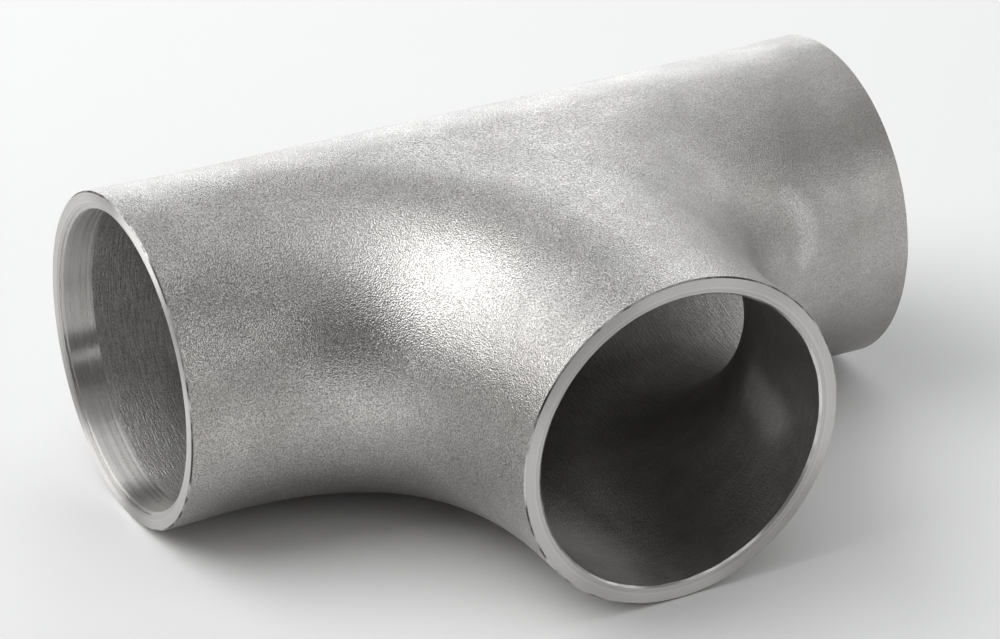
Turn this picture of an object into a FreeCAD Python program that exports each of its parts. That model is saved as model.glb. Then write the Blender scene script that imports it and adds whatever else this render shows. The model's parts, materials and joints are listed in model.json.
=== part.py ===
import FreeCAD, Part
from collections import namedtuple
import math
import os

# A seamless equal tee for butt welding, lying flat. The origin is where the centre lines cross.
# The run lies along X, the branch points to -Y, and +Z is up. All sizes are in millimetres.

# Driving sizes
outside_diameter = 48.3
wall = 2.6
run_centre_to_end = 57.0
branch_centre_to_end = 57.0

# Plain pipe left at each end before the outside blend starts, and how full its corner is.
# A fullness of 0.707 gives an elliptic arc, and a larger one keeps closer to the sharp corner.
run_plain_outside = 11.0
branch_plain_outside = 3.0
outside_fullness = 1.1

# The same for the bore, whose corner is tighter, so the metal is thicker in the crotch.
run_plain_bore = 17.0
branch_plain_bore = 7.0
bore_fullness = 0.95

# Flat bevel from the branch's end face down to its bore
bevel_width = 0.85
bevel_depth = 0.2

# Number of equal arcs that draw the half circle of a blend surface. They leave its form alone
# and keep its facets few and even.
outside_arcs = 10
bore_arcs = 4

# Derived sizes
outer_radius = outside_diameter / 2
bore_radius = outer_radius - wall
cut_overshoot = 1.0

# The form of a tee of one radius: where its pipes end, where its blend starts on the run and on
# the branch, how full the blend's corner is, and the arcs of its half circle
Form = namedtuple("Form", "radius run_end branch_end run_plane branch_plane fullness arcs")


def vec(x, y, z):
    return FreeCAD.Vector(x, y, z)


def outside_form():
    return Form(
        radius=outer_radius,
        run_end=run_centre_to_end,
        branch_end=branch_centre_to_end,
        run_plane=run_centre_to_end - run_plain_outside,
        branch_plane=branch_centre_to_end - branch_plain_outside,
        fullness=outside_fullness,
        arcs=outside_arcs,
    )


def bore_form():
    return Form(
        radius=bore_radius,
        run_end=run_centre_to_end + cut_overshoot,
        branch_end=branch_centre_to_end + cut_overshoot,
        run_plane=run_centre_to_end - run_plain_bore,
        branch_plane=branch_centre_to_end - branch_plain_bore,
        fullness=bore_fullness,
        arcs=bore_arcs,
    )


def half_circle_poles(arcs):
    """Cosine, sine and weight of the poles of a half circle, from its lowest point to its top."""
    half_angle = math.pi / (2 * arcs)
    poles = []
    for step in range(2 * arcs + 1):
        angle = step * half_angle - math.pi / 2
        weight = math.cos(half_angle) if step % 2 else 1.0
        poles.append((math.cos(angle) / weight, math.sin(angle) / weight, weight))
    return poles


def corner_row(form, cosine, sine, side):
    """Three poles at one height: on the run, at the sharp corner, and on the branch."""
    out = form.radius * cosine
    height = form.radius * sine
    return [
        vec(side * form.run_plane, -out, height),
        vec(side * out, -out, height),
        vec(side * out, -form.branch_plane, height),
    ]


def corner_face(form, side):
    """Blend between the run's front and one side of the branch, from bottom line to top line.

    At every height it leaves the run and the branch along their own straight lines.
    """
    poles = []
    weights = []
    for cosine, sine, weight in half_circle_poles(form.arcs):
        poles.append(corner_row(form, cosine, sine, side))
        weights.append([weight, weight * form.fullness, weight])
    around_mults = [3] + [2] * (form.arcs - 1) + [3]
    around_knots = list(range(form.arcs + 1))
    surface = Part.BSplineSurface()
    surface.buildFromPolesMultsKnots(
        poles, around_mults, (3, 3), around_knots, (0, 1), False, False, 2, 2, weights
    )
    # Two more knots across the blend leave its form alone and even out the facets.
    surface.insertVKnot(1 / 3, 1, 1e-7)
    surface.insertVKnot(2 / 3, 1, 1e-7)
    return surface.toShape()


def web_arc(form, side, level):
    """The blend's edge at the very top (level 1) or bottom (level -1), beside the flat web."""
    poles = corner_row(form, 0, level, side)
    curve = Part.BSplineCurve()
    curve.buildFromPolesMultsKnots(poles, (3, 3), (0, 1), False, 2, (1.0, form.fullness, 1.0))
    return curve.toShape()


def web_face(form, level):
    """Flat web between the two blends, level with the pipe's top or bottom line."""
    left = vec(-form.run_plane, 0, level * form.radius)
    right = vec(form.run_plane, 0, level * form.radius)
    edges = [web_arc(form, -1, level), web_arc(form, 1, level), Part.makeLine(left, right)]
    return Part.Face(Part.Wire(Part.__sortEdges__(edges)))


def half_disc(x, radius, side):
    """Half of the run's cross-section at x, towards +Y (side 1) or the branch (side -1)."""
    bottom = vec(x, 0, -radius)
    top = vec(x, 0, radius)
    arc = Part.Arc(bottom, vec(x, side * radius, 0), top).toShape()
    return Part.Face(Part.Wire([arc, Part.makeLine(top, bottom)]))


def branch_disc(form):
    """The branch's cross-section where its blend starts."""
    circle = Part.makeCircle(form.radius, vec(0, -form.branch_plane, 0), vec(0, 1, 0))
    return Part.Face(Part.Wire(circle))


def middle_rectangle(form):
    """The upright cut along the run's centre line, between the two ends of the blend."""
    corners = [
        vec(-form.run_plane, 0, -form.radius),
        vec(form.run_plane, 0, -form.radius),
        vec(form.run_plane, 0, form.radius),
        vec(-form.run_plane, 0, form.radius),
    ]
    return Part.Face(Part.makePolygon(corners + corners[:1]))


def junction_block(form):
    """The front half of the tee where run and branch blend, as one closed solid."""
    faces = [branch_disc(form), middle_rectangle(form)]
    for side in (-1, 1):
        faces.append(corner_face(form, side))
        faces.append(half_disc(side * form.run_plane, form.radius, -1))
    for level in (-1, 1):
        faces.append(web_face(form, level))
    shell = Part.makeShell(faces)
    shell.sewShape()
    block = Part.Solid(shell)
    if block.Volume < 0:
        block.reverse()
    return block


def tee_solid(form):
    """The run's back half, its front ends, the blended junction and the branch, face to face."""
    pieces = [half_disc(-form.run_end, form.radius, 1).extrude(vec(2 * form.run_end, 0, 0))]
    for side in (-1, 1):
        start = half_disc(side * form.run_plane, form.radius, -1)
        pieces.append(start.extrude(vec(side * (form.run_end - form.run_plane), 0, 0)))
    branch_length = form.branch_end - form.branch_plane
    pieces.append(branch_disc(form).extrude(vec(0, -branch_length, 0)))
    return junction_block(form).fuse(pieces).removeSplitter()


def branch_bevel():
    """Cutter for the bevel round the branch's mouth, widest at the end face."""
    mouth = vec(0, -branch_centre_to_end, 0)
    return Part.makeCone(bore_radius + bevel_width, bore_radius, bevel_depth, mouth, vec(0, 1, 0))


def tee_body():
    """The whole fitting: the outer form less the bore and the bevel of the branch's mouth."""
    body = tee_solid(outside_form()).cut(tee_solid(bore_form()))
    return body.cut(branch_bevel()).Solids[0]


def main():
    os.makedirs("parts", exist_ok=True)
    body = tee_body()
    body.exportStep("parts/tee_body.step")
    print("tee_body", "valid", body.isValid(), "volume", round(body.Volume, 1), "faces", len(body.Faces))


main()
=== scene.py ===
import json
import math

import bmesh
import bpy
from mathutils import Matrix, Vector, noise


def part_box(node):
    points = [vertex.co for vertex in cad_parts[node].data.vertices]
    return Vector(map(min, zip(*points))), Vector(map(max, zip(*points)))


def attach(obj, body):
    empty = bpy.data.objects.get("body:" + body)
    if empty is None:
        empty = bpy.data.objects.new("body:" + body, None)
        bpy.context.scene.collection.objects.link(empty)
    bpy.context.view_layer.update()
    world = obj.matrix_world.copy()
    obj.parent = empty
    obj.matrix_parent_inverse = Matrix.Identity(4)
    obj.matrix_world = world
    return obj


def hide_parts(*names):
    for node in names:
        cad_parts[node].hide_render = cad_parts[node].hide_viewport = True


# A seamless stainless tee, blasted all over, with turned ends, lying flat on a pale floor.
# Everything is in metres. The run lies along X, the branch points to -Y and +Z is up.

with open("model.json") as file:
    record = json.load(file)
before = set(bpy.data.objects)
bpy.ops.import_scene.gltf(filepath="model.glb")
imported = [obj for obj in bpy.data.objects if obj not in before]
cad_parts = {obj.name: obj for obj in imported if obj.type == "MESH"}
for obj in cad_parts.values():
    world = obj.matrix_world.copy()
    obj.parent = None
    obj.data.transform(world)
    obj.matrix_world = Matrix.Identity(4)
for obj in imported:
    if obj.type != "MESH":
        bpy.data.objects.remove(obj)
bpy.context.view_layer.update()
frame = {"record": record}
LOW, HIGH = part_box("tee_body")
RUN_BORE = next(mount for mount in frame["record"]["mounts"] if mount["name"] == "run_bore")
MM = 0.001

# Main sizes, taken from the frame
OUTER_RADIUS = HIGH.y
RUN_END = HIGH.x
BRANCH_END = -LOW.y
BORE_RADIUS = RUN_BORE["dims"]["r_mm"] * MM

# Where the blend starts on the run and on the branch, and how full its corner is
OUTSIDE_RUN_PLANE = RUN_END - 11.0 * MM
OUTSIDE_BRANCH_PLANE = BRANCH_END - 3.0 * MM
OUTSIDE_FULLNESS = 1.1
BORE_RUN_PLANE = RUN_END - 17.0 * MM
BORE_BRANCH_PLANE = BRANCH_END - 7.0 * MM
BORE_FULLNESS = 0.95

# Broken outer edge of every mouth, and the bevel inside the branch's mouth with its worn inner edge
EDGE_BREAK = 0.2 * MM
BEVEL_RADIUS = BORE_RADIUS + 0.85 * MM
BEVEL_DEPTH = 0.1 * MM
WORN_RADIUS = BORE_RADIUS + 0.28 * MM
WORN_DEPTH = 0.4 * MM

# Inside a run's mouth: a bevel, a narrow land with its own bevel, and the bored seat that runs out
# into the raw wall
LIP_RADIUS = BORE_RADIUS + 0.95 * MM
LIP_DEPTH = 0.12 * MM
LAND_RADIUS = BORE_RADIUS + 0.45 * MM
LAND_BEVEL = 0.1 * MM
LAND_START = 0.2 * MM
LAND_END = 0.48 * MM
SEAT_RADIUS = BORE_RADIUS + 0.02 * MM
SEAT_START = 0.6 * MM
SEAT_DEPTH = 5.1 * MM
SEAT_RUNOUT = 0.3 * MM

# The flat webs' edges, evened out by forming: how often each point is averaged with its
# neighbours, and the heights and the distances from a mouth over which that sets in
SOFTENING_ROUNDS = 60
SOFTENED_HEIGHTS = (0.45 * OUTER_RADIUS, 0.8 * OUTER_RADIUS)
SOFTENED_DISTANCES = (5.0 * MM, 14.0 * MM)

# Waves left by forming: how deep and how wide they are, and the distances from a mouth over which
# they set in
WAVE_DEPTH = 0.06 * MM
WAVE_SIZE = 11.0 * MM
WAVE_DISTANCES = (0.5 * MM, 8.0 * MM)

# A low curved ridge beside the junction, with a painted highlight along it: the points that it
# passes in millimetres, how wide and how high it is
RIDGE_POINTS = (
    (37.6, -21.1, 12.6), (39.3, -21.9, 10.8), (40.1, -22.7, 8.7),
    (40.1, -23.5, 6.4), (38.7, -24.2, 4.4),
)
RIDGE_LINES = tuple(zip(RIDGE_POINTS, RIDGE_POINTS[1:]))
RIDGE_WIDTH = 1.5 * MM
RIDGE_HEIGHT = 0.12 * MM

# How far a seat's inner end wanders, and how finely along and across the run
SEAT_WANDER = 0.15 * MM
WANDER_FINENESS = Vector((400, 160, 160))

# The branch's raw mouth: how oval and how ragged it is, and each noise that makes it ragged, with
# its fineness and its share
MOUTH_OVALITY = 0.1 * MM
MOUTH_RAGGEDNESS = 0.12 * MM
RAGGED_NOISES = ((7.0, 0.6), (23.0, 0.4))

# A point this near the bore's radius belongs to the bore
BORE_MARGIN = 0.05 * MM

# Divisions of the skin's sheets: round a quarter of a pipe, along a run's end, along the blend,
# along the branch's end, and across the flat web
AROUND_QUARTER = 48
ALONG_RUN_END = 10
ALONG_BLEND = 56
ALONG_BRANCH_END = 4
ACROSS_WEB = 40

WELD_DISTANCE = 0.002 * MM
SHORTEST_EDGE = WELD_DISTANCE / 4
SHARP_ANGLE = math.radians(25)


class Field:
    """A number field of a geometry or shader tree that can be written as a formula."""

    def __init__(self, tree, socket):
        self.tree = tree
        self.socket = socket

    def apply(self, operation, *values):
        """The result of a math node's operation on this field and other values."""
        made = self.tree.nodes.new("ShaderNodeMath")
        made.operation = operation
        for value, socket in zip((self, *values), made.inputs):
            connect(self.tree, value, socket)
        return Field(self.tree, made.outputs[0])

    def __add__(self, other):
        return self.apply("ADD", other)

    def __sub__(self, other):
        return self.apply("SUBTRACT", other)

    def __rsub__(self, other):
        return (-self).apply("ADD", other)

    def __mul__(self, other):
        return self.apply("MULTIPLY", other)

    __radd__ = __add__
    __rmul__ = __mul__

    def __truediv__(self, other):
        return self.apply("DIVIDE", other)

    def __neg__(self):
        return self.apply("MULTIPLY", -1.0)

    def above(self, other):
        return self.apply("GREATER_THAN", other)

    def sin(self):
        return self.apply("SINE")

    def cos(self):
        return self.apply("COSINE")

    def root(self):
        return self.apply("SQRT")


def connect(tree, value, socket):
    """Links a field or a socket, or sets a plain value."""
    if isinstance(value, Field):
        tree.links.new(value.socket, socket)
    elif isinstance(value, bpy.types.NodeSocket):
        tree.links.new(value, socket)
    else:
        socket.default_value = value


def add_node(tree, kind, inputs, output=None, **settings):
    """A node with its settings made and its inputs set or linked. Returns its first output, or
    another one. Sockets are told apart by their identifiers, since some share a name."""
    made = tree.nodes.new(kind)
    for name, value in settings.items():
        setattr(made, name, value)
    sockets = {socket.identifier: socket for socket in made.inputs}
    for name, value in inputs.items():
        connect(tree, value, sockets[name])
    outputs = {socket.identifier: socket for socket in made.outputs}
    return outputs[output] if output else made.outputs[0]


def vector(tree, x, y, z):
    return add_node(tree, "ShaderNodeCombineXYZ", {"X": x, "Y": y, "Z": z})


def parts_of(tree, source):
    """The X, Y and Z of a vector."""
    made = tree.nodes.new("ShaderNodeSeparateXYZ")
    tree.links.new(source, made.inputs[0])
    return [Field(tree, output) for output in made.outputs]


def ramp(tree, value, low, high, start=0.0, end=1.0):
    """Carries a value softly from one range to another, clamped."""
    limits = {"From Min": low, "From Max": high, "To Min": start, "To Max": end}
    return Field(tree, add_node(
        tree, "ShaderNodeMapRange", {"Value": value, **limits}, interpolation_type="SMOOTHSTEP"
    ))


def lerp(start, end, share):
    return start + (end - start) * share


def between(value, low, high):
    """How far a value lies from low to high, kept within 0 and 1."""
    return min(1.0, max(0.0, (value - low) / (high - low)))


def add_object(name, data):
    """A new object at the origin of the scene."""
    made = bpy.data.objects.new(name, data)
    bpy.context.scene.collection.objects.link(made)
    return made


# The trees that draw the skin: the named inputs of each, and the finishes that faces can have
SKIN_SIZES = ("Radius", "Run end", "Branch end", "Run plane", "Branch plane", "Fullness")
RING_SIZES = ("Start depth", "Start radius", "End depth", "End radius")
TEE_SIZES = {
    "Outer radius": OUTER_RADIUS,
    "Bore radius": BORE_RADIUS,
    "Run end": RUN_END,
    "Branch end": BRANCH_END,
    "Outside run plane": OUTSIDE_RUN_PLANE,
    "Outside branch plane": OUTSIDE_BRANCH_PLANE,
    "Outside fullness": OUTSIDE_FULLNESS,
    "Bore run plane": BORE_RUN_PLANE,
    "Bore branch plane": BORE_BRANCH_PLANE,
    "Bore fullness": BORE_FULLNESS,
    "Edge break": EDGE_BREAK,
    "Bevel radius": BEVEL_RADIUS,
    "Bevel depth": BEVEL_DEPTH,
    "Worn radius": WORN_RADIUS,
    "Worn depth": WORN_DEPTH,
    "Lip radius": LIP_RADIUS,
    "Lip depth": LIP_DEPTH,
    "Land radius": LAND_RADIUS,
    "Land bevel": LAND_BEVEL,
    "Land start": LAND_START,
    "Land end": LAND_END,
    "Seat radius": SEAT_RADIUS,
    "Seat start": SEAT_START,
    "Seat depth": SEAT_DEPTH,
    "Seat runout": SEAT_RUNOUT,
}
FINISHES = ("blasted", "raw bore", "turned face", "broken edge", "bevel", "seat", "worn edge")

# Scales that give the mirror image across the middle of the run and across mid-height
MIRROR_X = (-1, 1, 1)
MIRROR_Z = (1, 1, -1)


def geometry_tree(name, sizes):
    """An empty geometry tree with a named input for each size, and those inputs."""
    tree = bpy.data.node_groups.new(name, "GeometryNodeTree")
    tree.interface.new_socket("Geometry", in_out="OUTPUT", socket_type="NodeSocketGeometry")
    for size in sizes:
        tree.interface.new_socket(size, in_out="INPUT", socket_type="NodeSocketFloat")
    source = tree.nodes.new("NodeGroupInput")
    return tree, [Field(tree, source.outputs[size]) for size in sizes]


def end_tree(tree, geometry):
    output = tree.nodes.new("NodeGroupOutput")
    tree.links.new(geometry, output.inputs[0])


def use_tree(tree, inner, values):
    """Places one tree inside another and gives its inputs."""
    made = tree.nodes.new("GeometryNodeGroup")
    made.node_tree = inner
    for value, socket in zip(values, made.inputs):
        connect(tree, value, socket)
    return made.outputs[0]


def join(tree, pieces):
    made = tree.nodes.new("GeometryNodeJoinGeometry")
    for piece in reversed(pieces):
        tree.links.new(piece, made.inputs[0])
    return made.outputs[0]


def with_mirror(tree, geometry, scale):
    """The geometry together with its mirror image."""
    image = add_node(tree, "GeometryNodeTransform", {"Geometry": geometry, "Scale": scale})
    return join(tree, [geometry, image])


def own_position(tree):
    return add_node(tree, "GeometryNodeInputPosition", {})


def sheet_shares(tree):
    """How far a point lies along and around its sheet, from 0 to 1."""
    x, y, _ = parts_of(tree, own_position(tree))
    return x + 0.5, y + 0.5


def sheet(tree, along, around, x, y, z):
    """A grid with every point moved to its place on the skin."""
    grid = add_node(tree, "GeometryNodeMeshGrid", {
        "Size X": 1.0, "Size Y": 1.0, "Vertices X": along + 1, "Vertices Y": around + 1
    })
    place = vector(tree, x, y, z)
    return add_node(tree, "GeometryNodeSetPosition", {"Geometry": grid, "Position": place})


def corner(width, run_plane, branch_plane, fullness, share):
    """The conic between run and branch at one height, from its start on the run to the branch."""
    rest = 1.0 - share
    first = rest * rest
    middle = share * rest * 2.0 * fullness
    last = share * share
    total = first + middle + last
    x = (first * run_plane + (middle + last) * width) / total
    y = ((first + middle) * width + last * branch_plane) / total
    return x, -y


def skin_tree():
    """The skin of a tee of one radius, drawn as one quarter of its sheets and mirrored twice.

    At each height the skin follows the run, a conic corner and the branch, and a flat web closes
    it at the very top and bottom.
    """
    tree, sizes = geometry_tree("tee skin", SKIN_SIZES)
    radius, run_end, branch_end, run_plane, branch_plane, fullness = sizes
    along, around = sheet_shares(tree)
    half_turn = around * math.pi
    quarter_turn = around * (math.pi / 2)
    width = radius * quarter_turn.cos()
    height = radius * quarter_turn.sin()
    corner_x, corner_y = corner(width, run_plane, branch_plane, fullness, along)
    web_x, web_y = corner(0.0, run_plane, branch_plane, fullness, around)
    along_branch = lerp(branch_plane, branch_end, along)
    run_pipe = sheet(
        tree, ALONG_RUN_END, 2 * AROUND_QUARTER,
        lerp(run_plane, run_end, along), radius * half_turn.cos(), radius * half_turn.sin(),
    )
    back = sheet(tree, ACROSS_WEB, AROUND_QUARTER, along * run_plane, width, height)
    blend = sheet(tree, ALONG_BLEND, AROUND_QUARTER, corner_x, corner_y, height)
    web = sheet(tree, ACROSS_WEB, ALONG_BLEND, along * web_x, web_y, radius)
    branch_pipe = sheet(tree, ALONG_BRANCH_END, AROUND_QUARTER, width, -along_branch, height)
    quarter = join(tree, [run_pipe, back, blend, web, branch_pipe])
    end_tree(tree, with_mirror(tree, with_mirror(tree, quarter, MIRROR_X), MIRROR_Z))
    return tree


def ring_tree():
    """One turned surface of a mouth between two circles. The mouth's plane is at x = 0 and the
    pipe lies behind it."""
    tree, sizes = geometry_tree("turned ring", RING_SIZES)
    start_depth, start_radius, end_depth, end_radius = sizes
    along, around = sheet_shares(tree)
    radius = lerp(start_radius, end_radius, along)
    turn = around * math.pi
    half = sheet(
        tree, 1, 2 * AROUND_QUARTER,
        -lerp(start_depth, end_depth, along), radius * turn.cos(), radius * turn.sin(),
    )
    end_tree(tree, with_mirror(tree, half, MIRROR_Z))
    return tree


def finished_as(tree, geometry, finish):
    """Marks every face with the number of its finish."""
    inputs = {"Geometry": geometry, "Name": "finish", "Value": FINISHES.index(finish)}
    return add_node(
        tree, "GeometryNodeStoreNamedAttribute", inputs, data_type="INT", domain="FACE"
    )


def finish_number(tree):
    return Field(tree, add_node(
        tree, "GeometryNodeInputNamedAttribute", {"Name": "finish"}, data_type="INT"
    ))


def turned_mouth(tree, ring, circles, finishes):
    """The turned surfaces of one mouth, from its outer skin inwards. A circle is a depth and a
    radius, and each pair of neighbours has a surface between them."""
    rings = []
    for start, end, finish in zip(circles, circles[1:], finishes):
        rings.append(finished_as(tree, use_tree(tree, ring, (*start, *end)), finish))
    return join(tree, rings)


def tee_tree(materials):
    """The whole tee: its outside, its bore and three turned mouths, welded into one closed skin."""
    tree, sizes = geometry_tree("seamless tee", TEE_SIZES)
    size = dict(zip(TEE_SIZES, sizes))
    skin = skin_tree()
    ring = ring_tree()
    outside = use_tree(tree, skin, (
        size["Outer radius"],
        size["Run end"] - size["Edge break"],
        size["Branch end"] - size["Edge break"],
        size["Outside run plane"],
        size["Outside branch plane"],
        size["Outside fullness"],
    ))
    bore = use_tree(tree, skin, (
        size["Bore radius"],
        size["Run end"] - size["Seat depth"] - size["Seat runout"],
        size["Branch end"] - size["Worn depth"],
        size["Bore run plane"],
        size["Bore branch plane"],
        size["Bore fullness"],
    ))
    outer_circles = [
        (size["Edge break"], size["Outer radius"]),
        (0.0, size["Outer radius"] - size["Edge break"]),
    ]
    branch_mouth = turned_mouth(tree, ring, outer_circles + [
        (0.0, size["Bevel radius"]),
        (size["Bevel depth"], size["Worn radius"]),
        (size["Worn depth"], size["Bore radius"]),
    ], ("broken edge", "turned face", "bevel", "worn edge"))
    run_mouth = turned_mouth(tree, ring, outer_circles + [
        (0.0, size["Lip radius"]),
        (size["Lip depth"], size["Land radius"] + size["Land bevel"]),
        (size["Land start"], size["Land radius"]),
        (size["Land end"], size["Land radius"]),
        (size["Seat start"], size["Seat radius"]),
        (size["Seat depth"], size["Seat radius"]),
        (size["Seat depth"] + size["Seat runout"], size["Bore radius"]),
    ], ("broken edge", "turned face", "bevel", "bevel", "seat", "bevel", "seat", "raw bore"))
    pieces = [finished_as(tree, outside, "blasted"), finished_as(tree, bore, "raw bore")]
    for turn, end, mouth in (
        (0.0, vector(tree, size["Run end"], 0.0, 0.0), run_mouth),
        (math.pi, vector(tree, -size["Run end"], 0.0, 0.0), run_mouth),
        (-math.pi / 2, vector(tree, 0.0, -size["Branch end"], 0.0), branch_mouth),
    ):
        place = {"Translation": end, "Rotation": (0.0, 0.0, turn)}
        pieces.append(add_node(tree, "GeometryNodeTransform", {"Geometry": mouth, **place}))
    welded = add_node(tree, "GeometryNodeMergeByDistance", {
        "Geometry": join(tree, pieces), "Distance": WELD_DISTANCE
    })
    soft = softened(tree, welded)
    real = add_node(tree, "GeometryNodeRealizeInstances", {"Geometry": soft})
    end_tree(tree, set_finishes(tree, real, materials))
    return tree


def softened(tree, geometry):
    """Evens out the outside where the flat webs meet the rounded corners, away from the mouths."""
    position = own_position(tree)
    x, y, z = parts_of(tree, position)
    high = ramp(tree, z * z, *(height ** 2 for height in SOFTENED_HEIGHTS))
    off_run_end = ramp(tree, x * x, *((RUN_END - away) ** 2 for away in SOFTENED_DISTANCES))
    off_branch_end = ramp(tree, y, *(away - BRANCH_END for away in SOFTENED_DISTANCES))
    blurred = add_node(tree, "GeometryNodeBlurAttribute", {
        "Value": position,
        "Iterations": SOFTENING_ROUNDS,
        "Weight": high * off_run_end * off_branch_end,
    }, data_type="FLOAT_VECTOR")
    outside = 1.0 - finish_number(tree).above(FINISHES.index("blasted") + 0.5)
    return add_node(tree, "GeometryNodeSetPosition", {
        "Geometry": geometry, "Selection": outside, "Position": blurred
    })


def set_finishes(tree, geometry, materials):
    """Gives each face the material of its finish."""
    number = finish_number(tree)
    for index, finish in enumerate(FINISHES):
        geometry = add_node(tree, "GeometryNodeSetMaterial", {
            "Geometry": geometry,
            "Selection": number.above(index - 0.5),
            "Material": materials[finish],
        })
    return geometry


def tee_piece(materials):
    """Runs the tree on an empty mesh and keeps its result as a plain closed mesh."""
    tree = tee_tree(materials)
    maker = add_object("tee maker", bpy.data.meshes.new("tee maker"))
    modifier = maker.modifiers.new("tee", "NODES")
    modifier.node_group = tree
    for item in tree.interface.items_tree:
        if item.in_out == "INPUT":
            modifier[item.identifier] = TEE_SIZES[item.name]
    evaluated = maker.evaluated_get(bpy.context.evaluated_depsgraph_get())
    mesh = bpy.data.meshes.new_from_object(evaluated)
    maker.modifiers.remove(modifier)
    bpy.data.objects.remove(maker)
    mesh.name = "tee_skin"
    work = bmesh.new()
    work.from_mesh(mesh)
    clean_skin(work)
    weather_skin(work)
    work.to_mesh(mesh)
    work.free()
    mesh.set_sharp_from_angle(angle=SHARP_ANGLE)
    return add_object("tee_skin", mesh)


def clean_skin(work):
    """Welds the sheets' seams and turns every face of the closed skin outwards."""
    bmesh.ops.remove_doubles(work, verts=work.verts, dist=WELD_DISTANCE)
    bmesh.ops.dissolve_degenerate(work, edges=work.edges, dist=SHORTEST_EDGE)
    bmesh.ops.recalc_face_normals(work, faces=work.faces)
    for face in work.faces:
        face.smooth = True
    open_edges = sum(1 for edge in work.edges if not edge.is_manifold)
    print("tee_skin faces", len(work.faces), "open edges", open_edges)


def weather_skin(work):
    """Leaves the turned surfaces true and makes the raw ones as uneven as forming leaves them."""
    work.normal_update()
    moves = [uneven_move(vert) for vert in work.verts]
    for vert, move in zip(work.verts, moves):
        vert.co += move


def uneven_move(vert):
    """How far forming and boring leave a point of the skin from its true place."""
    rise = ridge_height(vert.co) - wave_depth(vert.co)
    return vert.normal * rise + seat_end_move(vert.co) + branch_mouth_move(vert.co)


def wave_depth(place):
    """How deep the waves left by forming lie at a place."""
    off_mouths = min(
        between(RUN_END - abs(place.x), *WAVE_DISTANCES),
        between(BRANCH_END + place.y, *WAVE_DISTANCES),
    )
    wave = noise.noise(place / WAVE_SIZE, noise_basis="PERLIN_ORIGINAL") * 0.5 + 0.5
    return WAVE_DEPTH * off_mouths * between(wave, 0.0, 1.0)


def ridge_height(place):
    """How high the curved ridge stands at a place."""
    away = min(distance_from_line(place, start, end) for start, end in RIDGE_LINES) / RIDGE_WIDTH
    return RIDGE_HEIGHT * math.exp(-0.5 * away * away)


def distance_from_line(place, start, end):
    """Distance from a place to the straight line between two points in millimetres."""
    start = Vector(start) * MM
    line = Vector(end) * MM - start
    nearest = start + line * between((place - start).dot(line), 0.0, line.length_squared)
    return (place - nearest).length


def seat_end_move(place):
    """The wander of the run's bore where a seat runs out, less and less towards the blend."""
    along = abs(place.x)
    in_bore = math.hypot(place.y, place.z) < BORE_RADIUS + BORE_MARGIN
    if not in_bore or not BORE_RUN_PLANE < along < RUN_END - SEAT_DEPTH / 2:
        return Vector()
    towards_seat = between(along, BORE_RUN_PLANE, RUN_END - SEAT_DEPTH - SEAT_RUNOUT)
    wander = SEAT_WANDER * noise.noise(place * WANDER_FINENESS) * towards_seat
    return Vector((math.copysign(wander, place.x), 0.0, 0.0))


def branch_mouth_move(place):
    """How far the raw bore is oval and ragged at the branch's mouth, less and less inwards."""
    along = -place.y
    radius = math.hypot(place.x, place.z)
    if radius >= BORE_RADIUS + BORE_MARGIN or along <= BORE_BRANCH_PLANE:
        return Vector()
    out = Vector((place.x, 0.0, place.z)) / radius
    oval = MOUTH_OVALITY * (out.z * out.z - 0.5)
    noises = sum(share * noise.noise(out * fineness) for fineness, share in RAGGED_NOISES)
    towards_mouth = between(along, BORE_BRANCH_PLANE, BRANCH_END - WORN_DEPTH)
    return out * ((oval + MOUTH_RAGGEDNESS * noises) * towards_mouth)


def grey(level, warmth):
    """A steel colour: its level, and how much warmer than neutral it is."""
    return (level * (1 + warmth), level, level * (1 - warmth), 1.0)


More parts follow.
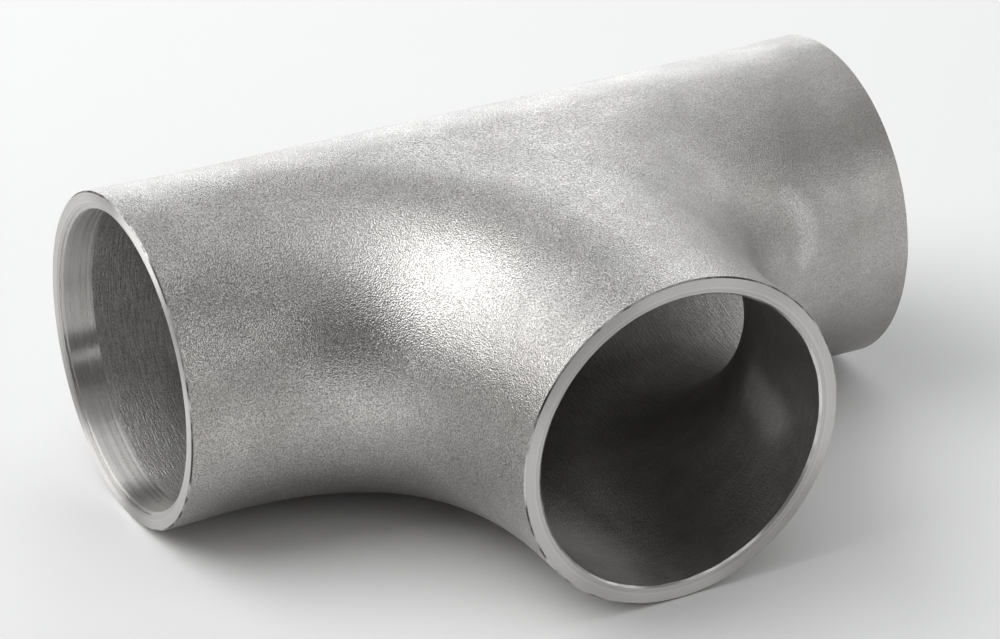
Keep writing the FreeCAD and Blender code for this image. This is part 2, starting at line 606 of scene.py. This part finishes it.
class Metal:
    """A new metal material with its shader and the object's own place."""

    def __init__(self, name):
        self.material = bpy.data.materials.new(name)
        self.material.use_nodes = True
        self.tree = self.material.node_tree
        self.shader = self.tree.nodes["Principled BSDF"]
        self.shader.inputs["Metallic"].default_value = 1.0
        self.place = add_node(self.tree, "ShaderNodeTexCoord", {}, "Object")
        self.x, self.y, self.z = parts_of(self.tree, self.place)

    def set(self, name, value):
        connect(self.tree, value, self.shader.inputs[name])

    def vector(self, x, y, z):
        return vector(self.tree, x, y, z)

    def ramp(self, value, low, high, start=0.0, end=1.0):
        return ramp(self.tree, value, low, high, start, end)

    def noise(self, size, seed, detail=0.0, roughness=0.5, place=None):
        """Noise from 0 to 1 with its own seed, over the object's own place or another one."""
        return Field(self.tree, add_node(self.tree, "ShaderNodeTexNoise", {
            "Vector": place or self.place,
            "W": seed,
            "Scale": 1 / size,
            "Detail": detail,
            "Roughness": roughness,
        }, noise_dimensions="4D"))

    def mix(self, share, first, second):
        """A colour between two others."""
        inputs = {"Factor_Float": share, "A_Color": first, "B_Color": second}
        return add_node(self.tree, "ShaderNodeMix", inputs, "Result_Color", data_type="RGBA")

    def bump(self, height, relief):
        inputs = {"Height": height, "Distance": relief, "Strength": 1.0}
        self.set("Normal", add_node(self.tree, "ShaderNodeBump", inputs))

    def vector_math(self, operation, first, second, output="Vector"):
        inputs = {"Vector": first, "Vector_001": second}
        return add_node(
            self.tree, "ShaderNodeVectorMath", inputs, output, operation=operation
        )

    def distance_from(self, start, end):
        """Distance of the object's own place from the straight line between two points."""
        line = end - start
        away = self.vector_math("SUBTRACT", self.place, start)
        share = self.vector_math("DOT_PRODUCT", away, line / line.length_squared, "Value")
        share = Field(self.tree, share).apply("MAXIMUM", 0.0).apply("MINIMUM", 1.0)
        nearest = self.vector(share * line.x, share * line.y, share * line.z)
        return Field(self.tree, self.vector_math("DISTANCE", away, nearest, "Value"))

    def marks(self, marks):
        """How strongly any of the marks shows at the object's own place."""
        total = 0.0
        for start, end, width, strength in marks:
            away = self.distance_from(Vector(start) * MM, Vector(end) * MM)
            edge = width * MM
            mark = self.ramp(away, edge, edge * MARK_CORE, 0.0, strength)
            total = mark.apply("MAXIMUM", total)
        return total


# Light rub marks and scratches, a painted highlight along the ridge and a patch of painted light
# in the left run's bore: where each starts and ends in millimetres, its width in millimetres and
# its strength, which it has over the core of its width
MARK_CORE = 0.2
# The painted highlight along the ridge: its width in millimetres and its strength
RIDGE_HIGHLIGHT_WIDTH = 2.7
RIDGE_HIGHLIGHT_STRENGTH = 0.6
OUTSIDE_MARKS = (
    ((-25.4, -15.4, 21.5), (-26.9, -18.4, 19.6), 0.15, 0.5),
    ((41.6, -23.8, 5.2), (42.1, -23.9, -4.6), 0.14, 0.35),
    ((44.1, -23.8, -4.3), (47.3, -24.0, -2.5), 0.5, 0.18),
    ((46.5, -24.0, -1.8), (52.2, -24.1, 0.1), 0.5, 0.18),
# The painted highlight along the ridge
) + tuple((start, end, RIDGE_HIGHLIGHT_WIDTH, RIDGE_HIGHLIGHT_STRENGTH) for start, end in RIDGE_LINES)
BORE_MARKS = (
    ((-49.8, 11.0, -18.6), (-49.9, 8.4, -19.9), 0.22, 1.0),
    ((-48.2, 11.3, -18.4), (-48.3, 8.4, -19.9), 0.2, 1.0),
    ((-48.0, 10.2, -19.0), (-48.0, 7.4, -20.3), 0.25, 1.0),
    ((-46.8, 9.6, -19.3), (-47.1, 7.0, -20.4), 0.25, 1.0),
    # A wide patch of painted light low in the left run's bore, where light comes in at its mouth
    ((-51.0, 10.0, -19.1), (-46.0, 4.0, -21.2), 14.0, 0.7),
    ((21.8, -39.0, -5.7), (20.8, -47.0, -6.7), 5.0, 0.6),
)
RUB_AND_PAINTED_LIGHT_TONE = grey(1.0, 0.01)

# The part of noise's range over which it turns from one tone into the other
SOFT_PATCHES = (0.3, 0.7)
WARM_PATCHES = (0.4, 0.65)
BORE_PATCHES = (0.35, 0.65)
DARK_PATCH_SPAN = (0.4, 0.6)
NICK_PATCHES = (0.3, 0.6)
PIT_DEPTHS = (0.25, 0.75)

# The blasted outside: its grain, how much of that is coarser lumps, how strong it still is at the
# right end, and the sizes and tones of its patches
GRAIN = 0.2 * MM
GRAIN_RELIEF = 0.1 * MM
LUMP_SIZE = 3 * GRAIN
LUMP_SHARE = 0.2
RIGHT_END_GRAIN = 0.58
CLOUD_SIZE = 9.0 * MM
WARM_PATCH_SIZE = 16.0 * MM
BLASTED_TONE = grey(0.59, 0.02)
WARM_TONE = grey(0.59, 0.045)
BRIGHT_TONE = grey(0.77, 0.025)
SHADE_TONE = grey(0.25, 0.02)
BLASTED_ROUGHNESS = (0.39, 0.35)
FADED_ROUGHNESS = 0.2

# How much of the shade tone shows in the grain's pits, where the grain fades, low on the tee and
# low at its right end, and the heights and the stretch of the run over which the last two set in.
# Low on the tee and low at its right end that tone is painted shade.
PIT_SHADE = 0.85
FADED_SHADE = 0.55
LOW_PAINTED_SHADE = 0.2
LOW_RIGHT_PAINTED_SHADE = 0.25
LOW_HEIGHTS = (4.0 * MM, -16.0 * MM)
LOW_RIGHT_HEIGHTS = (6.0 * MM, -6.0 * MM)
LOW_RIGHT_STRETCH = (24.0 * MM, 46.0 * MM)
FADING_STRETCH = (0.0, 55.0 * MM)


def blasted_outside():
    """Grit-blasted stainless: even grey grain, fainter to the right, with soft patches."""
    metal = Metal("blasted stainless")
    strength = metal.ramp(metal.x, *FADING_STRETCH, 1.0, RIGHT_END_GRAIN)
    faded = 1.0 - strength
    grain = metal.noise(GRAIN, seed=1.0)
    lumps = metal.noise(LUMP_SIZE, seed=2.0, detail=1.0)
    clouds = metal.noise(CLOUD_SIZE, seed=3.0, detail=4.0, roughness=0.65)
    warmth = metal.noise(WARM_PATCH_SIZE, seed=4.0, detail=2.0)
    tone = metal.mix(metal.ramp(warmth, *WARM_PATCHES), BLASTED_TONE, WARM_TONE)
    tone = metal.mix(metal.ramp(clouds, *SOFT_PATCHES), tone, BRIGHT_TONE)
    # Scratches and streaks, and the painted highlight along the ridge
    tone = metal.mix(metal.marks(OUTSIDE_MARKS), tone, RUB_AND_PAINTED_LIGHT_TONE)
    # Painted shade: darker low on the tee, and darker still low at its right end
    low = metal.ramp(metal.z, *LOW_HEIGHTS)
    at_right = metal.ramp(metal.x, *LOW_RIGHT_STRETCH)
    painted_shade_low_right = metal.ramp(metal.z, *LOW_RIGHT_HEIGHTS) * at_right
    shade = faded * FADED_SHADE + low * LOW_PAINTED_SHADE + painted_shade_low_right * LOW_RIGHT_PAINTED_SHADE
    tone = metal.mix(shade, tone, SHADE_TONE)
    pits = (1.0 - metal.ramp(grain, *PIT_DEPTHS)) * strength
    metal.set("Base Color", metal.mix(pits * PIT_SHADE, tone, SHADE_TONE))
    roughness = metal.ramp(clouds, *SOFT_PATCHES, *BLASTED_ROUGHNESS)
    metal.set("Roughness", roughness + faded * FADED_ROUGHNESS)
    metal.bump(lerp(grain, lumps, LUMP_SHARE) * strength, GRAIN_RELIEF)
    return metal.material


# The raw bore: its grain, how much of that is lines and how narrow they are for their length, and
# its patches and tones
BORE_GRAIN = 1.2 * GRAIN
BORE_RELIEF = 0.12 * MM
LINE_SHARE = 0.4
LINE_NARROWING = 0.1
BORE_PATCH_SIZE = 9.0 * MM
BORE_LEVELS = (0.58, 0.74)
BORE_WARMTH = 0.025
BORE_PIT_TONE = grey(0.1, 0.03)
BORE_ROUGHNESS = (0.52, 0.46)
PITS_LOST_UNDER_MARKS = 0.5

# Its painted light and shade, pits and relief: deep inside, then what comes on top near the run's
# mouths and in the branch, and the stretches of the run and the branch over which that sets in.
# The painted light and shade leave the bore darkest deep inside and lighter near the mouths.
PAINTED_LIGHT_SHARES = (0.38, 0.62, 0.28)
PIT_SHARES = (0.35, 0.25, 0.0)
RELIEF_SHARES = (0.8, 0.5, 0.4)
RUN_MOUTH_STRETCH = (30.0 * MM, 46.0 * MM)
IN_BRANCH_STRETCH = (16.0 * MM, 30.0 * MM)


def raw_bore():
    """The bore as drawn and pickled: coarser than the outside, with faint lines left round it by
    drawing, and with painted shade that darkens it deep inside."""
    metal = Metal("raw stainless bore")
    near_mouth = metal.ramp(metal.x * metal.x, *(along ** 2 for along in RUN_MOUTH_STRETCH))
    in_branch = metal.ramp(-metal.y, *IN_BRANCH_STRETCH)

    def local(shares):
        deep, more_near_mouth, more_in_branch = shares
        return deep + near_mouth * more_near_mouth + in_branch * more_in_branch

    drawn = metal.vector(
        metal.x * lerp(1.0, LINE_NARROWING, in_branch),
        metal.y * lerp(LINE_NARROWING, 1.0, in_branch),
        metal.z * LINE_NARROWING,
    )
    grain = metal.noise(BORE_GRAIN, seed=5.0, detail=1.5)
    lines = metal.noise(BORE_GRAIN, seed=7.0, detail=1.0, place=drawn)
    surface = lerp(grain, lines, LINE_SHARE)
    patches = metal.noise(BORE_PATCH_SIZE, seed=6.0, detail=4.0, roughness=0.6)
    # Painted shade and light: the tone is darkest deep inside and lighter near the mouths
    level = metal.ramp(patches, *BORE_PATCHES, *BORE_LEVELS) * local(PAINTED_LIGHT_SHARES)
    tone = metal.vector(level * (1 + BORE_WARMTH), level, level * (1 - BORE_WARMTH))
    # Scratches and a smudge, with the patch of painted light in the left run's bore
    rubs_and_painted_light = metal.marks(BORE_MARKS)
    tone = metal.mix(rubs_and_painted_light, tone, RUB_AND_PAINTED_LIGHT_TONE)
    pits = (1.0 - metal.ramp(surface, *SOFT_PATCHES)) * local(PIT_SHARES)
    pits *= 1.0 - rubs_and_painted_light * PITS_LOST_UNDER_MARKS
    metal.set("Base Color", metal.mix(pits, tone, BORE_PIT_TONE))
    metal.set("Roughness", metal.ramp(patches, *SOFT_PATCHES, *BORE_ROUGHNESS))
    metal.bump(surface * local(RELIEF_SHARES), BORE_RELIEF)
    return metal.material


# How far from its mouth's plane a turned surface may lie
MOUTH_REACH = 2.0 * MM

# The grooves of turned faces and bevels, and those of a bored seat: their width and depth. Broad
# ones lie among the fine ones, and all of them shade the metal and vary its roughness.
FACE_GROOVE = (0.15 * MM, 0.004 * MM)
SEAT_GROOVE = (0.12 * MM, 0.02 * MM)
BROAD_TO_FINE = 4
BROAD_SHARE = 0.5
GROOVE_SHADE = 0.86
TURNED_WARMTH = 0.02
ROUGHNESS_SPREAD = 0.15


def rings_round_mouth(metal):
    """For rings on a mouth's face: the distance from the mouth's centre line, and straight out
    from that line."""
    on_branch = (-metal.y).above(BRANCH_END - MOUTH_REACH)
    from_run = (metal.y * metal.y + metal.z * metal.z).root()
    from_branch = (metal.x * metal.x + metal.z * metal.z).root()
    out = metal.vector(metal.x * on_branch, metal.y * (1.0 - on_branch), metal.z)
    return lerp(from_run, from_branch, on_branch), out


def rings_along_run(metal):
    """For rings inside the run: the distance along it, and its direction."""
    return metal.x, metal.vector(1.0, 0.0, 0.0)


def turned(name, level, roughness, groove, rings):
    """Turned stainless: fine rings that smear its reflections across them."""
    metal = Metal(name)
    width, depth = groove
    across, direction = rings(metal)
    place = metal.vector(across, 0.0, 0.0)
    fine = metal.noise(width, seed=9.0, detail=3.0, roughness=0.6, place=place)
    broad = metal.noise(BROAD_TO_FINE * width, seed=10.0, detail=2.0, place=place)
    shaded_tone = grey(level * GROOVE_SHADE, TURNED_WARMTH)
    bare_tone = grey(level, TURNED_WARMTH)
    metal.set("Base Color", metal.mix(metal.ramp(fine, *SOFT_PATCHES), shaded_tone, bare_tone))
    roughest = roughness * (1 + ROUGHNESS_SPREAD)
    smoothest = roughness * (1 - ROUGHNESS_SPREAD)
    metal.set("Roughness", metal.ramp(broad, *SOFT_PATCHES, roughest, smoothest))
    metal.set("Anisotropic", 1.0)
    metal.set("Tangent", direction)
    metal.bump(lerp(fine, broad, BROAD_SHARE), depth)
    return metal.material


# The outer edges: the size of their patches of painted dark reflection, how much more of that
# lies on the run, and the tones and roughness of that painted dark and of burnished metal
DARK_PATCH_SIZE = 5.0 * MM
MORE_PAINTED_DARK_ON_RUN = 0.03
PAINTED_DARK_EDGE_TONE = grey(0.08, 0.02)
BURNISHED_TONE = grey(0.6, 0.02)
EDGE_ROUGHNESS = (0.5, 0.4)

# The branch's inner edge: the size of its nicks, and the tones and roughness of nicked and bare
# metal
NICK_SIZE = 3.0 * MM
NICK_TONE = grey(0.65, 0.02)
BARE_TONE = grey(0.85, 0.02)
NICK_ROUGHNESS = (0.4, 0.32)


def broken_edge():
    """Burnished edge between two turned or blasted surfaces, with a painted dark reflection
    in places.
    """
    metal = Metal("broken edge")
    on_run = (metal.x * metal.x).above((RUN_END - MOUTH_REACH) ** 2)
    # Painted dark reflection: dark patches along the edge, a little more of them on the run
    edge_patches = metal.noise(DARK_PATCH_SIZE, seed=12.0, detail=3.0, roughness=0.6) - on_run * MORE_PAINTED_DARK_ON_RUN
    burnished = metal.ramp(edge_patches, *DARK_PATCH_SPAN)
    metal.set("Base Color", metal.mix(burnished, PAINTED_DARK_EDGE_TONE, BURNISHED_TONE))
    metal.set("Roughness", metal.ramp(edge_patches, *DARK_PATCH_SPAN, *EDGE_ROUGHNESS))
    return metal.material


def worn_edge():
    """Bare bright edge of the branch's bore, a little uneven."""
    metal = Metal("worn edge")
    nicks = metal.noise(NICK_SIZE, seed=13.0, detail=2.0, roughness=0.6)
    metal.set("Base Color", metal.mix(metal.ramp(nicks, *NICK_PATCHES), NICK_TONE, BARE_TONE))
    metal.set("Roughness", metal.ramp(nicks, *NICK_PATCHES, *NICK_ROUGHNESS))
    return metal.material


def tee_materials():
    """The material of each finish."""
    return {
        "blasted": blasted_outside(),
        "raw bore": raw_bore(),
        "turned face": turned(
            "turned face", level=0.74, roughness=0.42, groove=FACE_GROOVE, rings=rings_round_mouth
        ),
        "broken edge": broken_edge(),
        "bevel": turned(
            "bevel", level=0.6, roughness=0.4, groove=FACE_GROOVE, rings=rings_round_mouth
        ),
        "worn edge": worn_edge(),
        "seat": turned(
            "bored seat", level=0.95, roughness=0.29, groove=SEAT_GROOVE, rings=rings_along_run
        ),
    }


FLOOR_REACH = 1.5
FLOOR_LOOK = {
    "Base Color": (0.97, 0.97, 0.97, 1.0),
    "Roughness": 0.9,
    "Specular IOR Level": 0.2,
}


def floor():
    """A pale floor under the tee's lowest line."""
    corners = [
        (x * FLOOR_REACH, y * FLOOR_REACH, -OUTER_RADIUS)
        for x, y in ((-1, -1), (1, -1), (1, 1), (-1, 1))
    ]
    mesh = bpy.data.meshes.new("floor")
    mesh.from_pydata(corners, [], [(0, 1, 2, 3)])
    made = add_object("floor", mesh)
    material = bpy.data.materials.new("pale floor")
    material.use_nodes = True
    shader = material.node_tree.nodes["Principled BSDF"]
    for name, value in FLOOR_LOOK.items():
        shader.inputs[name].default_value = value
    mesh.materials.append(material)


WHITE_LIGHT = (1.0, 1.0, 1.0)
COOL_LIGHT = (0.985, 1.0, 1.015)
WARM_LIGHT = (1.0, 1.0, 0.99)
LAMP_DISTANCE = 1.0
ROOM_LIGHT = 0.08

# Soft boxes round the tee: name, azimuth and elevation in degrees, width and height in metres,
# power in watts, and colour
LAMPS = (
    ("left", -118, 44, 1.05, 0.95, 7.9, WHITE_LIGHT),
    ("overhead front", -40, 75, 1.2, 1.2, 2.6, WHITE_LIGHT),
    ("overhead back", 180, 75, 0.9, 0.9, 1.1, COOL_LIGHT),
    ("behind right", 130, 28, 1.0, 0.8, 2.3, COOL_LIGHT),
    ("low behind", 162, 9, 0.6, 0.3, 1.5, COOL_LIGHT),
    ("front right", 32, 20, 0.7, 0.3, 1.25, WARM_LIGHT),
    ("right", 82, 24, 0.6, 0.4, 0.75, WARM_LIGHT),
)


def direction_to(azimuth, elevation):
    """From the tee towards a lamp or the camera. Azimuth 0 is straight in front of the branch."""
    return Vector((
        math.sin(azimuth) * math.cos(elevation),
        -math.cos(azimuth) * math.cos(elevation),
        math.sin(elevation),
    ))


def soft_lamp(name, azimuth, elevation, width, height, power, colour):
    """A rectangular soft box that faces the tee."""
    light = bpy.data.lights.new(name, "AREA")
    light.shape = "RECTANGLE"
    light.size = width
    light.size_y = height
    light.energy = power
    light.color = colour
    lamp = add_object(name, light)
    away = direction_to(math.radians(azimuth), math.radians(elevation))
    lamp.location = away * LAMP_DISTANCE
    lamp.rotation_euler = away.to_track_quat("Z", "Y").to_euler()


def lights():
    """The soft boxes, and a faint even light from the room."""
    for lamp in LAMPS:
        soft_lamp(*lamp)
    world = bpy.data.worlds.new("studio")
    world.use_nodes = True
    background = world.node_tree.nodes["Background"]
    background.inputs["Color"].default_value = (1.0, 1.0, 1.0, 1.0)
    background.inputs["Strength"].default_value = ROOM_LIGHT
    bpy.context.scene.world = world


# Camera fitted to the end circles and the straight outlines of the photograph
CAMERA_AZIMUTH = math.radians(-27.973)
CAMERA_ELEVATION = math.radians(27.296)
CAMERA_ROLL = math.radians(-0.139)
CAMERA_DISTANCE = 24.794 * OUTER_RADIUS
CAMERA_SHIFT_RIGHT = -0.0955 * OUTER_RADIUS
CAMERA_SHIFT_UP = 0.2718 * OUTER_RADIUS
CAMERA_LENS = 149.44
SENSOR_WIDTH = 36.0
NEAREST_SEEN = 0.01
FARTHEST_SEEN = 20.0


def camera():
    """The view of the photograph, with its slight roll and its off-centre frame."""
    back = direction_to(CAMERA_AZIMUTH, CAMERA_ELEVATION)
    level_right = (-back).cross(Vector((0, 0, 1))).normalized()
    level_up = level_right.cross(-back)
    right = level_right * math.cos(CAMERA_ROLL) + level_up * math.sin(CAMERA_ROLL)
    up = level_up * math.cos(CAMERA_ROLL) - level_right * math.sin(CAMERA_ROLL)
    data = bpy.data.cameras.new("camera")
    data.sensor_width = SENSOR_WIDTH
    data.lens = CAMERA_LENS
    data.clip_start = NEAREST_SEEN
    data.clip_end = FARTHEST_SEEN
    made = add_object("camera", data)
    made.location = back * CAMERA_DISTANCE - right * CAMERA_SHIFT_RIGHT - up * CAMERA_SHIFT_UP
    made.rotation_euler = Matrix((right, up, back)).transposed().to_euler()
    bpy.context.scene.camera = made


bpy.context.scene.view_settings.view_transform = "Standard"
camera()
lights()
floor()
tee = tee_piece(tee_materials())
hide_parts("tee_body")
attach(tee, "root")
